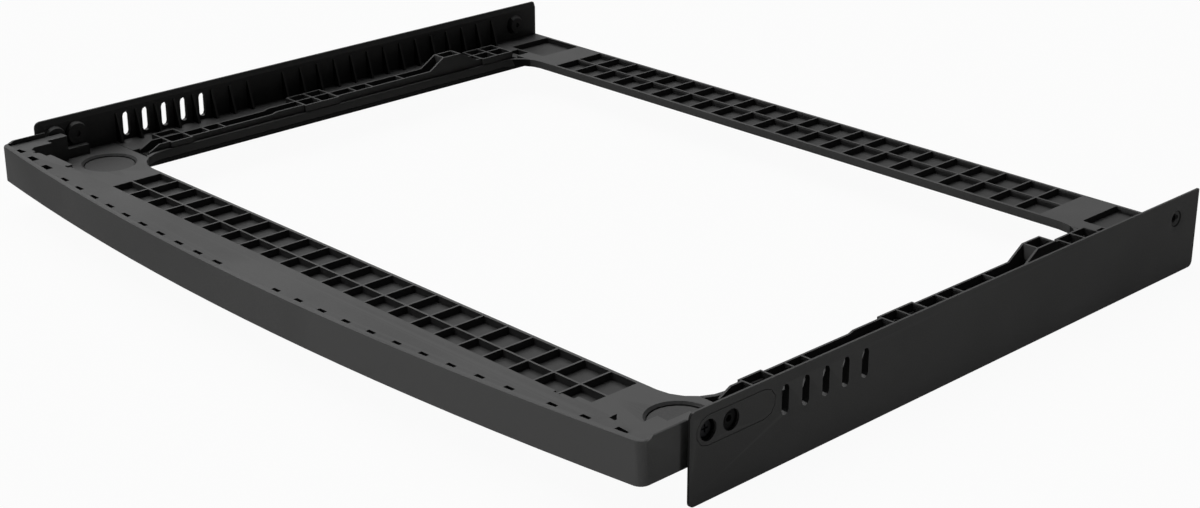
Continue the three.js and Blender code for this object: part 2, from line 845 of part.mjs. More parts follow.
// The cover's outer form up to a level, with a rounded top edge
function coverBlank(top) {
  const outline = bowedOutline(0, fasciaHalf, fasciaCornerRadius, fasciaReturn);
  return solidOf(pulled(outline, top - frameUnderside, {
    bevelEnabled: true,
    bevelThickness: fasciaEdgeRadius,
    bevelSize: fasciaEdgeRadius,
    bevelOffset: -fasciaEdgeRadius,
    bevelSegments: fasciaEdgeSteps,
  }).translate(0, 0, frameUnderside - fasciaEdgeRadius));
}

function fasciaCover() {
  const rear = fasciaReturn + overrun;
  const reach = halfWidth + overrun;
  const inside = bowedOutline(fasciaWall, fasciaHalf - fasciaWall, fasciaCornerRadius - fasciaWall, rear);
  const mouth = bowedOutline(flangeDepth, fasciaHalf - fasciaWall, beamCornerRadius, rear);
  const shell = cutBy(coverBlank(fasciaTop), [
    block([-reach, -reach, -overrun], [reach, reach, frameUnderside]),
    upward(inside, 0, fasciaTop - flangeThickness),
    upward(mouth, 0, fasciaTop + overrun),
  ]);
  // The returns end higher than the front, behind a short ramp
  const rimFoot = fasciaTop - rimRoot;
  const rimTop = fasciaTop + rimRise;
  const rimFront = fasciaReturn - rimReach;
  const ahead = new THREE.Shape([
    [-reach, rimFoot - overrun],
    [rimFront, rimFoot - overrun],
    [rimFront, fasciaTop - rimRise],
    [rimFront + rimRamp, rimTop],
    [rimFront + rimRamp, rimTop + overrun],
    [-reach, rimTop + overrun],
  ].map(([y, z]) => new THREE.Vector2(y, z)));
  const rims = cutBy(coverBlank(rimTop), [
    block([-reach, -reach, -overrun], [reach, reach, rimFoot]),
    upward(inside, 0, rimTop + overrun),
    upward(mouth, 0, rimTop + overrun),
    across(ahead, -reach, reach),
  ]);
  const clips = [];
  const under = fasciaTop - flangeThickness;
  for (const place of clipPlaces()) {
    const back = bowAt(place, flangeDepth);
    const low = under - clipDrop;
    const left = place - clipWidth / 2;
    const right = place + clipWidth / 2;
    const clip = joined([
      block([left, back - clipThickness, low], [right, back, under + meldDepth]),
      block([left, back - meldDepth, low], [right, back + clipBarb, low + clipBarbHeight]),
    ]);
    clips.push(clip, mirrored(clip));
  }
  return joined([shell, rims, ...clips]);
}

// The front beam's plan: the deck behind the bow and a leg at either side of it
function beamPlan(inset) {
  const rim = beamSide - inset;
  const legInner = beamSide - stripLegWidth + inset;
  const legRear = stripLegRear - inset;
  const rear = beamRear - inset;
  const shapes = [
    bowedOutline(flangeDepth + fitGap + inset, rim, Math.max(beamCornerRadius - inset, fitGap), rear),
  ];
  for (const side of bothSides) {
    const leg = new THREE.Shape([
      new THREE.Vector2(side * rim, rear - overrun),
      new THREE.Vector2(side * rim, legRear),
      new THREE.Vector2(side * legInner, legRear),
      new THREE.Vector2(side * legInner, rear + stripFillet),
      new THREE.Vector2(side * (legInner - stripFillet), rear),
      new THREE.Vector2(side * (legInner - stripFillet), rear - overrun),
    ]);
    shapes.push(leg);
  }
  return shapes;
}

function frontBeam() {
  const foot = frameTop + fitGap;
  const shell = joined(beamPlan(0).map((shape) => upward(shape, foot, deckLevel)));
  const roof = deckLevel - deckThickness;
  const hollow = joined(beamPlan(beamWall).map((shape) => upward(shape, foot - overrun, roof)));
  const solids = [shell.subtract(hollow)];
  for (let rib = 0; rib < beamRibCount; rib += 1) {
    const x = (rib + 1 / 2) * beamRibPitch;
    const front = bowAt(x, flangeDepth + fitGap + beamWall) - meldDepth;
    const wall = block(
      [x - beamRibWall / 2, front, foot + beamRibLift],
      [x + beamRibWall / 2, beamRear - beamWall + meldDepth, roof + meldDepth],
    );
    solids.push(wall, mirrored(wall));
  }
  // Solid arms that the front screws bite into, and tongues behind the deck
  const arm = block([beamSide - armWidth, stripLegRear - beamWall, foot], [beamSide, armRear, deckLevel]);
  const tongueTop = deckLevel - latchTongueDrop;
  const tongue = block(
    [beamSide - latchTongueInner, beamRear - meldDepth, tongueTop - latchTongueThickness],
    [beamSide - latchTongueOuter, beamRear + latchTongueReach, tongueTop],
  );
  solids.push(arm, mirrored(arm), tongue, mirrored(tongue));
  const cutters = [];
  for (const place of clipPlaces()) {
    const front = bowAt(place, flangeDepth + fitGap);
    const slot = block(
      [place - clipSlotWidth / 2, front - overrun, deckLevel - clipSlotDrop],
      [place + clipSlotWidth / 2, front + clipSlotDepth, deckLevel + overrun],
    );
    cutters.push(slot, mirrored(slot));
  }
  for (const latchInset of latchInsets) {
    const middle = beamSide - latchInset;
    const latch = block(
      [middle - latchWidth / 2, beamRear - latchDepth, deckLevel - clipSlotDrop],
      [middle + latchWidth / 2, beamRear + overrun, deckLevel + overrun],
    );
    cutters.push(latch, mirrored(latch));
  }
  // The deck falls a little towards the sides
  const fallEnd = beamSide - deckFallInset;
  const fall = along(new THREE.Shape([
    [fallEnd - deckFallRun, deckLevel],
    [fallEnd, deckLevel - deckFall],
    [halfWidth, deckLevel - deckFall],
    [halfWidth, deckLevel + overrun],
    [fallEnd - deckFallRun, deckLevel + overrun],
  ].map(([x, z]) => new THREE.Vector2(x, z))), -bowReach - overrun, armRear + overrun);
  const pilot = rodX(pilotRadius, screwTip - pilotMargin, beamSide + overrun, holeFrontY, holeLevel);
  cutters.push(fall, mirrored(fall), pilot, mirrored(pilot));
  return cutBy(joined(solids), cutters);
}

function footDisc() {
  const radius = seatRadius - discGap;
  return turnedZ([
    [0, 0],
    [radius, 0],
    [radius, discThickness - discEdge],
    [radius - discEdge, discThickness],
    [0, discThickness],
  ], 0, 0, roundSteps + cornerSteps);
}

// The holes for the joint screws through the right tongues and into the pads above
function jointHoles(y) {
  const radius = jointShankRadius + fitGap;
  const top = frameUnderside - fitGap + jointShankLength + fitGap;
  const low = frameUnderside - overrun;
  const profile = [[0, low], [radius, low], [radius, top], [0, top]];
  return jointScrewPlaces.map((x) => turnedZ(profile, x, y, jointSteps));
}

// Low screw, driven from below, its crown at zero
function jointScrew() {
  const body = turnedZ([
    [0, 0],
    [jointHeadRadius, 0],
    [jointHeadRadius, jointHeadHeight],
    [jointShankRadius, jointHeadHeight],
    [jointShankRadius, jointHeadHeight + jointShankLength],
    [0, jointHeadHeight + jointShankLength],
  ], 0, 0, jointSteps);
  const arm = jointHeadRadius / 2;
  const wall = jointRecess / 2;
  return cutBy(body, [
    block([-arm, -wall, -overrun], [arm, wall, jointRecess]),
    block([-wall, -arm, -overrun], [wall, arm, jointRecess]),
  ]);
}

// Cheese head screw with a cross recess, its head on the counterbore's floor
function frontScrew() {
  const body = turnedX([
    [0, screwTip],
    [screwShankRadius, screwTip],
    [screwShankRadius, screwSeat],
    [screwHeadRadius, screwSeat],
    [screwHeadRadius, screwCrown],
    [0, screwCrown],
  ], 0, 0);
  const arm = screwRecessArm / 2;
  const wall = screwRecessWall / 2;
  return cutBy(body, [
    block([screwCrown - screwRecess, -arm, -wall], [screwCrown + overrun, arm, wall]),
    block([screwCrown - screwRecess, -wall, -arm], [screwCrown + overrun, wall, arm]),
  ]);
}

const frame = new THREE.Group();

function place(name, solid, material, position = [0, 0, 0]) {
  const mesh = new THREE.Mesh(geometryOf(solid), material);
  mesh.name = name;
  mesh.position.set(...position);
  frame.add(mesh);
}

const rightPlate = sidePlate();
place('right_side_plate', rightPlate, blackPlastic);
place('left_side_plate', mirrored(rightPlate), blackPlastic);

const rightInsert = screwInsert();
place('right_screw_insert', rightInsert, blackPlastic);
place('left_screw_insert', mirrored(rightInsert), blackPlastic);

const rightRail = sideRail();
place('right_ribbed_rail', rightRail, blackPlastic);
place('left_ribbed_rail', mirrored(rightRail), blackPlastic);

const rightStrip = antiSlipStrip();
place('right_anti_slip_strip', rightStrip, blackRubber);
place('left_anti_slip_strip', mirrored(rightStrip), blackRubber);

place('front_tray', frontTray(), charcoalPlastic);
place('rear_tray', rearTray(), charcoalPlastic);
place('front_beam', frontBeam(), charcoalPlastic);
place('fascia_cover', fasciaCover(), charcoalPlastic);

const discLevel = frameTop - seatDepth + fitGap;
place('right_foot_disc', footDisc(), blackRubber, [seatCentreX, seatCentreY, discLevel]);
place('left_foot_disc', footDisc(), blackRubber, [-seatCentreX, seatCentreY, discLevel]);

place('right_front_screw', frontScrew(), blackenedSteel, [0, holeFrontY, holeLevel]);
place('left_front_screw', mirrored(frontScrew()), blackenedSteel, [0, holeFrontY, holeLevel]);

const jointCrown = frameUnderside - fitGap - jointHeadHeight;
for (const [end, y] of [['front', frontJointY], ['rear', rearJointY]]) {
  jointScrewPlaces.forEach((x, index) => {
    place(`${end}_right_joint_screw_${index + 1}`, jointScrew(), blackenedSteel, [x, y, jointCrown]);
    place(`${end}_left_joint_screw_${index + 1}`, jointScrew(), blackenedSteel, [-x, y, jointCrown]);
  });
}

// The origin lies under the middle of the whole, at the level of its lowest edge
frame.position.y = (bowReach - plateLength) / 2;

export default frame;
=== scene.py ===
# %% [markdown]
# A stacking kit stands a tumble dryer on a washing machine. It is a low
# rectangular frame of dark moulded plastic: a tray of open cells in front and
# behind, a ribbed rail on each side, two tall side plates that keep both
# machines from walking, and a bowed cover that closes the front.
# The exact solids come ready from the CAD program, so this lesson is about what
# CAD leaves out: a few fine cuts, softened edges, the skin of each material,
# light and camera.

import math

import bpy
from mathutils import Matrix, Vector


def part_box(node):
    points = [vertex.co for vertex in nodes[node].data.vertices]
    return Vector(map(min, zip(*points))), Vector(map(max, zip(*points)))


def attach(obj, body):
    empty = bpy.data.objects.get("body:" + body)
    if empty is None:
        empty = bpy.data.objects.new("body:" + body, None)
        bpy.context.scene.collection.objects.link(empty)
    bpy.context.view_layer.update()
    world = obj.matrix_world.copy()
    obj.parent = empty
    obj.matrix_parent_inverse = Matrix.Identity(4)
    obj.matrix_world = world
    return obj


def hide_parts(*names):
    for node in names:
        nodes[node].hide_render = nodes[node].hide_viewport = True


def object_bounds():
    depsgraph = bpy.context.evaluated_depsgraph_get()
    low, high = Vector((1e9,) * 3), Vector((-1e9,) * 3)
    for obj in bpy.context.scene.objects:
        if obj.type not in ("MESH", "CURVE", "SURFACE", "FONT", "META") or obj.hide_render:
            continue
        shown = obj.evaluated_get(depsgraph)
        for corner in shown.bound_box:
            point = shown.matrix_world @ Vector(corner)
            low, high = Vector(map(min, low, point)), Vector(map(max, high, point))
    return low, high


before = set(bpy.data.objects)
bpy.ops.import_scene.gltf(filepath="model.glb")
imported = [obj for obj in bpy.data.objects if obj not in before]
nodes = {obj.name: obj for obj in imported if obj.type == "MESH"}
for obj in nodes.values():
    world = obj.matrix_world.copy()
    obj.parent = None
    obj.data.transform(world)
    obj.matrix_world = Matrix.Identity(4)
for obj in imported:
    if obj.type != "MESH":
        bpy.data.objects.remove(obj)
cad_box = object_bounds()
bpy.ops.object.select_all(action="DESELECT")

MM = 0.001
shown = dict(nodes)  # the object that is seen for each CAD piece
cad_size = [round((high - low) / MM, 1) for low, high in zip(*cad_box)]
print("nodes:", len(nodes), "size in mm:", cad_size)

# %% [markdown]
# Three small forms only count from this near: the slots behind the cover's rim
# are wider than the hooks in them, the round seats for the dryer's feet have a
# sloped edge, and the side plates thin out towards their front end and crest.
# They could be painted on as dark marks, but then the light wouldn't follow
# them. So each is cut out of a copy of the exact solid, and the copy stands in.
# A CAD mesh is loose triangles, so its copy is merged before the first cut.

# %% Cut a copy of an exact solid
OVERRUN = 1 * MM  # how far a cutter stands out of what it cuts
WELD_GAP = 0.002 * MM  # corners of loose triangles that lie this near are one corner
PLATE_LOW, PLATE_HIGH = (Vector(corner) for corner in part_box("right_side_plate"))


def box_cutter(low, high):
    """A block between two corners."""
    low, high = Vector(low), Vector(high)
    bpy.ops.mesh.primitive_cube_add(size=1, location=(low + high) / 2, scale=high - low)
    return bpy.context.object


def recut(name, cutters):
    """A copy of a CAD piece with the cutters taken out, which is seen in its place."""
    mesh = nodes[name].data.copy()
    piece = bpy.data.objects.new(f"{name}_recut", mesh)
    bpy.context.scene.collection.objects.link(piece)
    bpy.ops.object.select_all(action="DESELECT")
    piece.select_set(True)
    bpy.context.view_layer.objects.active = piece
    bpy.ops.object.mode_set(mode="EDIT")
    bpy.ops.mesh.select_all(action="SELECT")
    bpy.ops.mesh.remove_doubles(threshold=WELD_GAP)
    bpy.ops.object.mode_set(mode="OBJECT")
    for cutter in cutters:
        cut = piece.modifiers.new("cut", "BOOLEAN")
        cut.operation, cut.solver, cut.object = "DIFFERENCE", "EXACT", cutter
        bpy.ops.object.modifier_apply(modifier=cut.name)
        bpy.data.objects.remove(cutter)
    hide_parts(name)
    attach(piece, "root")
    shown[name] = piece
    print(name, "recut:", len(mesh.polygons), "faces")


print("side plate in mm:", [round(length / MM, 1) for length in PLATE_HIGH - PLATE_LOW])

# %% [markdown]
# The cover holds on to the beam with a row of hooks, and each hook drops into a
# slot that shows from above as a short black dash. One block could be copied
# along a straight line, but the front is bowed, so a function of the place
# across gives the depth at which the slot starts. The dashes look wider on the
# left half than on the right, so the sizes go by place too.

# %% Widen the clip slots
SLOT_PLACES = [(28 + 20 * slot) * MM for slot in range(10)]  # from the middle outwards
SLOT_PLACES += [(236 + 20.8 * slot) * MM for slot in range(3)]  # three more near the end
SLOT_SIZES = [  # up to that place, counted from the left: width and depth
    (-230 * MM, 8.6 * MM, 4.2 * MM),
    (0 * MM, 7.6 * MM, 2.5 * MM),
    (270 * MM, 6 * MM, 2.5 * MM),
    (300 * MM, 7 * MM, 3.8 * MM),
]
BOW_RADIUS = 2250 * MM
BOW_RISE = 46.22 * MM  # from the middle of the bowed face back to the plates' front ends
RIM_DEPTH = 3.8 * MM  # from the bowed face back to the slots
DECK_LEVEL = 42.8 * MM  # the beam's flat top
SLOT_DROP = 8 * MM  # from the deck down to the slots' floors


def bow(x, inset):
    """The depth at which the bowed front stands, inset behind its face."""
    return PLATE_LOW.y + BOW_RADIUS - BOW_RISE - math.sqrt((BOW_RADIUS - inset) ** 2 - x ** 2)


def slot_cutters():
    """The wider slots, on both halves of the front."""
    cutters = []
    for place in SLOT_PLACES + [-place for place in SLOT_PLACES]:
        front = bow(place, RIM_DEPTH)
        width, depth = next((width, depth) for end, width, depth in SLOT_SIZES if place < end)
        cutters.append(box_cutter((place - width / 2, front - OVERRUN, DECK_LEVEL - SLOT_DROP),
                                  (place + width / 2, front + depth, DECK_LEVEL + OVERRUN)))
    return cutters


recut("front_beam", slot_cutters())

# %% [markdown]
# A dryer's foot finds its seat more easily when the edge leads it in, so the
# round seats open with a small slope. A bevel on that edge would need it to be
# picked out of the CAD triangles. A cone that stands on the seat and widens
# upwards cuts the same slope, and it finds its place from the disc in the seat.

# %% Slope the edge of the round seats
SEAT_RADIUS = 17 * MM
SEAT_RIM = 2 * MM  # from the disc up to the rim of its seat
SLOPE_RUN, SLOPE_DROP = 1.5 * MM, 1.6 * MM
ROUND = 96  # sides of a cone that looks round
SIDES = ("right", "left")


def seat_cutters():
    """A cone over each round seat, wider at the top."""
    depth = SLOPE_DROP + OVERRUN
    wide = SEAT_RADIUS + SLOPE_RUN / SLOPE_DROP * depth
    cutters = []
    for side in SIDES:
        low, high = (Vector(corner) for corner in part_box(f"{side}_foot_disc"))
        centre, top = (low + high) / 2, high.z + SEAT_RIM
        bpy.ops.mesh.primitive_cone_add(
            vertices=ROUND, radius1=SEAT_RADIUS, radius2=wide, depth=depth,
            location=(centre.x, centre.y, top - SLOPE_DROP + depth / 2))
        cutters.append(bpy.context.object)
    return cutters


recut("front_tray", seat_cutters())

# %% [markdown]
# A tall moulded plate is drafted, which lets it leave the tool, and this one
# ends thin at the front and along the crest. Moving the points of its edge would
# drag the slots and ribs along that end there. A block that is turned by the
# angle of the taper shaves the inner face and leaves the rest alone.

# %% Thin the side plates
EDGE_THICKNESS = 1.3 * MM
EDGE_TAPER = 1.7 * MM  # how much thicker the plate is where the taper starts
NOSE_LENGTH = 7 * MM
CREST_HEIGHT = 4 * MM


def plate_cutters(side):
    """Two slanted blocks, one for the front end of a plate and one for its crest."""
    sign = 1 if side == "right" else -1
    low_x, high_x = sorted((-sign * NOSE_LENGTH, 0))  # from the hinge towards the middle
    # The axis that a block turns about, the taper's length, the hinge and two corners
    nose = ("z", NOSE_LENGTH, (PLATE_LOW.y, PLATE_LOW.z - OVERRUN),
            (low_x, -NOSE_LENGTH, 0),
            (high_x, NOSE_LENGTH, PLATE_HIGH.z + 2 * OVERRUN))
    crest = ("y", CREST_HEIGHT, (0, PLATE_HIGH.z),
             (low_x, PLATE_LOW.y - OVERRUN, -CREST_HEIGHT),
             (high_x, PLATE_HIGH.y + OVERRUN, OVERRUN))
    cutters = []
    for axis, length, hinge, low, high in (nose, crest):
        block = box_cutter(low, high)
        bpy.ops.object.transform_apply()
        setattr(block.rotation_euler, axis, sign * math.atan2(EDGE_TAPER, length))
        block.location = (sign * (PLATE_HIGH.x - EDGE_THICKNESS), *hinge)
        cutters.append(block)
    return cutters


for side in SIDES:
    recut(f"{side}_side_plate", plate_cutters(side))

# %% [markdown]
# No moulded edge is sharp: the tool is cut with a small radius, and the plastic
# shrinks a little as it cools. That radius is what catches light along every rib.
# It could be drawn by hand on each piece. Here three modifiers do it for all of
# them: Weld closes the loose triangles of the CAD mesh, Bevel rounds each edge
# that turns sharply, and Weighted Normal keeps the flat faces flat.

# %% Soften the moulded edges
SHARP_TURN = math.radians(30)
RADIUS_STEPS = 2
EDGE_RADIUS = {  # by the last words of a piece's name
    "fascia_cover": 0.30 * MM,
    "front_beam": 0.30 * MM,
    "tray": 0.30 * MM,
    "side_plate": 0.35 * MM,
    "screw_insert": 0.25 * MM,
    "ribbed_rail": 0.25 * MM,
    "anti_slip_strip": 0.40 * MM,
}


def soften(piece, radius):
    """Rounds the edges of a piece that turn sharply."""
    weld = piece.modifiers.new("weld", "WELD")
    weld.merge_threshold = WELD_GAP
    bevel = piece.modifiers.new("edge_radius", "BEVEL")
    bevel.limit_method = "ANGLE"
    bevel.angle_limit = SHARP_TURN
    bevel.width = radius
    bevel.segments = RADIUS_STEPS
    normals = piece.modifiers.new("flat_faces", "WEIGHTED_NORMAL")
    normals.keep_sharp = True
    for face in piece.data.polygons:
        face.use_smooth = True


softened = [(name, radius) for ending, radius in EDGE_RADIUS.items()
            for name in nodes if name.endswith(ending)]
for name, radius in softened:
    soften(shown[name], radius)
print("softened:", len(softened), "pieces")

# %% [markdown]
# Colours are written as a painter's hex values, as seen on a screen. Blender
# counts light, not screen values, so one function turns them to linear.
# A second one adds a shader node with its settings and links in a single call,
# which keeps the recipes below short.

# %% Colour and node helpers
def linear(hex_colour):
    """The linear colour, with alpha, of an sRGB hex value such as "505152"."""
    parts = [int(hex_colour[i:i + 2], 16) / 255 for i in (0, 2, 4)]
    return [p / 12.92 if p <= 0.04045 else ((p + 0.055) / 1.055) ** 2.4 for p in parts] + [1.0]


def add_node(tree, kind, settings=None, inputs=None, links=None):
    """Adds a node, sets its properties and sockets, and links sockets to other nodes' outputs."""
    node = tree.nodes.new(kind)
    for key, value in (settings or {}).items():
        setattr(node, key, value)
    for key, value in (inputs or {}).items():
        node.inputs[key].default_value = value
    for key, output in (links or {}).items():
        tree.links.new(output, node.inputs[key])
    return node


def new_material(name):
    """A material with an empty node tree."""
    material = bpy.data.materials.new(name)
    material.use_nodes = True
    material.node_tree.nodes.clear()
    return material, material.node_tree


print("charcoal in linear light:", [round(c, 3) for c in linear("464646")[:3]])

# %% [markdown]
# Holes, slots, the pockets of the rails and the floors of cells and seats look
# almost black: little light gets in. Light alone leaves them paler than they look.
# So each finish also knows such faces, by where they lie and which way they look,
# and paints shade on them: a darker colour where the shadow falls. The side
# plates' front ends, in the shadow behind the cover, get the same painted shade.

# %% Find the faces that get painted shade
SHELTER = 24.2 * MM  # level floors below this are the floors of cells, seats and pockets
SLOT_WALL = 42.5 * MM  # faces below this that look to the front are the walls of the slots
HOLE_DEPTH = 299.2 * MM  # outer faces nearer to the middle than this are inside a hole
FACING = 0.9  # a face looks up, or outwards, when its normal goes more than this that way
FRONTWARD = -0.5  # and to the front, when the Y of its normal is below this


def both(tree, *tests):
    """One where both tests hold; a test is an output, a comparison and its limit."""
    first, second = (
        add_node(tree, "ShaderNodeMath", settings={"operation": comparison}, inputs={1: limit},
                 links={0: output})
        for output, comparison, limit in tests)
    return add_node(tree, "ShaderNodeMath", settings={"operation": "MULTIPLY"},
                    links={0: first.outputs[0], 1: second.outputs[0]}).outputs[0]


def pocket_floors(tree, spot, lean):
    """Level faces low down, in cells, seats and pockets, which get painted shade."""
    return both(tree, (spot.outputs["Z"], "LESS_THAN", SHELTER),
                (lean.outputs["Z"], "GREATER_THAN", FACING))


def slot_walls(tree, spot, lean):
    """The rear walls of the slots, which look to the front below the deck and get painted shade."""
    return both(tree, (spot.outputs["Z"], "LESS_THAN", SLOT_WALL),
                (lean.outputs["Y"], "LESS_THAN", FRONTWARD))


def hole_floors(tree, spot, lean):
    """Faces that look outwards from inside a plate, and its cut front end, which get painted shade.
    """
    side = add_node(tree, "ShaderNodeMath", settings={"operation": "ABSOLUTE"},
                    links={0: spot.outputs["X"]})
    outwards = add_node(tree, "ShaderNodeMath", settings={"operation": "MULTIPLY"},
                        links={0: spot.outputs["X"], 1: lean.outputs["X"]})
    floors = both(tree, (side.outputs[0], "LESS_THAN", HOLE_DEPTH),
                  (outwards.outputs[0], "GREATER_THAN", FACING * HOLE_DEPTH))
    front = add_node(tree, "ShaderNodeMath", settings={"operation": "LESS_THAN"},
                     inputs={1: FRONTWARD}, links={0: lean.outputs["Y"]})
    return add_node(tree, "ShaderNodeMath", settings={"operation": "MAXIMUM"},
                    links={0: floors, 1: front.outputs[0]}).outputs[0]


print("darker below, in mm:", round(SHELTER / MM, 1), "and in the slots", round(SLOT_WALL / MM, 1))

# %% [markdown]
# The frame is moulded in ABS, coloured through with carbon black. A spark-eroded
# tool leaves a fine even grain of about a third of a millimetre, so the plastic
# has no mirror gloss: it scatters light and looks soft and dry to the eye. The
# melt cools unevenly, which leaves broad patches a trace lighter and glossier,
# and handling rubs the edges a little paler. A painted image could show all
# this. Noise in the node tree does it at any distance and without a file.

# %% Moulded ABS
GRAIN = 0.8 * MM  # two to three real grains, the finest that still shows from a step away
GRAIN_RELIEF = 0.05 * MM
FLOW = 70 * MM  # how far the patches of the melt reach
SHEEN = 0.06  # Specular IOR Level: the grain breaks up most of the gloss
PATCH_PALER, SPECK_PALER, RUBBED_PALER = 0.3, 0.3, 0.6  # share of the paler colour at most
# Painted shade: a near-black for faces inside slots and holes and on the plates' front ends.
HOLE_SHADE = "181818"  # inside the slots and holes


def moulded_abs(name, colour, rubbed, floor_shade, roughness, shade_faces=None):
    """Matt moulded plastic with painted shade on pocket floors and on the faces the mask picks."""
    material, tree = new_material(name)
    place = add_node(tree, "ShaderNodeTexCoord").outputs["Object"]
    flow = add_node(tree, "ShaderNodeTexNoise", inputs={"Scale": 1 / FLOW, "Detail": 3.0},
                    links={"Vector": place})
    grain = add_node(tree, "ShaderNodeTexNoise",
                     inputs={"Scale": 1 / GRAIN, "Detail": 2.0, "Roughness": 0.6},
                     links={"Vector": place})
    patch = add_node(tree, "ShaderNodeMapRange",
                     inputs={"From Min": 0.35, "From Max": 0.7,
                             "To Min": 0.0, "To Max": PATCH_PALER},
                     links={"Value": flow.outputs["Fac"]})
    speck = add_node(tree, "ShaderNodeMapRange",
                     inputs={"From Min": 0.4, "From Max": 0.7,
                             "To Min": 0.0, "To Max": SPECK_PALER},
                     links={"Value": grain.outputs["Fac"]})
    edge = add_node(tree, "ShaderNodeNewGeometry")
    wear = add_node(tree, "ShaderNodeMapRange",
                    inputs={"From Min": 0.52, "From Max": 0.62,
                            "To Min": 0.0, "To Max": RUBBED_PALER},
                    links={"Value": edge.outputs["Pointiness"]})
    paler = add_node(tree, "ShaderNodeMath", settings={"operation": "ADD"},
                     links={0: patch.outputs["Result"], 1: speck.outputs["Result"]})
    paler = add_node(tree, "ShaderNodeMath", settings={"operation": "MAXIMUM"},
                     links={0: paler.outputs[0], 1: wear.outputs["Result"]})
    paint = add_node(tree, "ShaderNodeMix", settings={"data_type": "RGBA"},
                     inputs={"A": linear(colour), "B": linear(rubbed)},
                     links={"Factor": paler.outputs[0]})
    spot = add_node(tree, "ShaderNodeSeparateXYZ", links={0: place})
    lean = add_node(tree, "ShaderNodeSeparateXYZ", links={0: edge.outputs["Normal"]})
    # Painted shade: a darker colour on pocket floors, and near-black on the faces that the mask
    # picks.
    darker = [(pocket_floors, floor_shade)] + ([(shade_faces, HOLE_SHADE)] if shade_faces else [])
    for faces, dark in darker:
        paint = add_node(tree, "ShaderNodeMix", settings={"data_type": "RGBA"},
                         inputs={"B": linear(dark)},
                         links={"Factor": faces(tree, spot, lean), "A": paint.outputs["Result"]})
    gloss = add_node(tree, "ShaderNodeMapRange",
                     inputs={"From Min": 0.3, "From Max": 0.7,
                             "To Min": roughness + 0.05, "To Max": roughness - 0.06},
                     links={"Value": flow.outputs["Fac"]})
    bump = add_node(tree, "ShaderNodeBump", inputs={"Strength": 0.3, "Distance": GRAIN_RELIEF},
                    links={"Height": grain.outputs["Fac"]})
    skin = add_node(tree, "ShaderNodeBsdfPrincipled",
                    inputs={"IOR": 1.52, "Specular IOR Level": SHEEN},
                    links={"Base Color": paint.outputs["Result"],
                           "Roughness": gloss.outputs["Result"],
                           "Normal": bump.outputs["Normal"]})
    add_node(tree, "ShaderNodeOutputMaterial", links={"Surface": skin.outputs["BSDF"]})
    return material


# The third colour of each finish is painted shade for the pocket floors.
CHARCOAL = {"colour": "464646", "rubbed": "525252", "floor_shade": "3a3a3a", "roughness": 0.55}
BLACK = {"colour": "424242", "rubbed": "4e4e4e", "roughness": 0.55}
charcoal_abs = moulded_abs("charcoal_abs", **CHARCOAL)
# This finish paints shade on the rear walls of the slots.
slotted_abs = moulded_abs("slotted_charcoal_abs", **CHARCOAL, shade_faces=slot_walls)
# Painted shade, almost black, on the floors of the rails' pockets and the inserts' holes.
black_abs = moulded_abs("black_abs", **BLACK, floor_shade="161616")  # almost black in the pockets
# The plates get painted shade on pocket floors, inside their holes and on their front ends.
plate_abs = moulded_abs("plate_black_abs", **BLACK, floor_shade="383838", shade_faces=hole_floors)
print("moulded finishes:", charcoal_abs.name, slotted_abs.name, black_abs.name, plate_abs.name)

# %% [markdown]
# The discs in the round seats and the strips under the ledges are a soft
# thermoplastic elastomer, moulded and then pushed or glued in. It is duller than
# the ABS, with a faint mottle where talc and dust cling to it. The discs are
# coloured like the pads around them and the strips are plain black, so one
# recipe takes the colour and makes both.

# %% Elastomer
MOTTLE = 1.2 * MM
MOTTLE_RELIEF = 0.05 * MM


def elastomer(name, colour, dusted):
    """Soft rubbery plastic, dull and a little dusty."""
    material, tree = new_material(name)
    place = add_node(tree, "ShaderNodeTexCoord").outputs["Object"]
    mottle = add_node(tree, "ShaderNodeTexNoise", inputs={"Scale": 1 / MOTTLE, "Detail": 3.0},
                      links={"Vector": place})
    dust = add_node(tree, "ShaderNodeMapRange", inputs={"From Min": 0.4, "From Max": 0.75},
                    links={"Value": mottle.outputs["Fac"]})
    paint = add_node(tree, "ShaderNodeMix", settings={"data_type": "RGBA"},
                     inputs={"A": linear(colour), "B": linear(dusted)},
                     links={"Factor": dust.outputs["Result"]})
    dull = add_node(tree, "ShaderNodeMapRange", inputs={"To Min": 0.7, "To Max": 0.85},
                    links={"Value": mottle.outputs["Fac"]})
    bump = add_node(tree, "ShaderNodeBump", inputs={"Strength": 0.4, "Distance": MOTTLE_RELIEF},
                    links={"Height": mottle.outputs["Fac"]})
    skin = add_node(tree, "ShaderNodeBsdfPrincipled",
                    inputs={"IOR": 1.5, "Specular IOR Level": 0.2},
                    links={"Base Color": paint.outputs["Result"],
                           "Roughness": dull.outputs["Result"],
                           "Normal": bump.outputs["Normal"]})
    add_node(tree, "ShaderNodeOutputMaterial", links={"Surface": skin.outputs["BSDF"]})
    return material


disc_elastomer = elastomer("charcoal_elastomer", "3a3a3a", "434343")
strip_elastomer = elastomer("black_elastomer", "181818", "262626")
print("soft finishes:", disc_elastomer.name, strip_elastomer.name)

# %% [markdown]
# The screws are steel under a thin black zinc coat. The coat lets the metal
# through, so it isn't a paint but a dark metal: it has no body colour, only a
# dim reflection of what stands around it, blotched where the bath took unevenly.

# %% Blackened steel
BLOTCH = 1.5 * MM


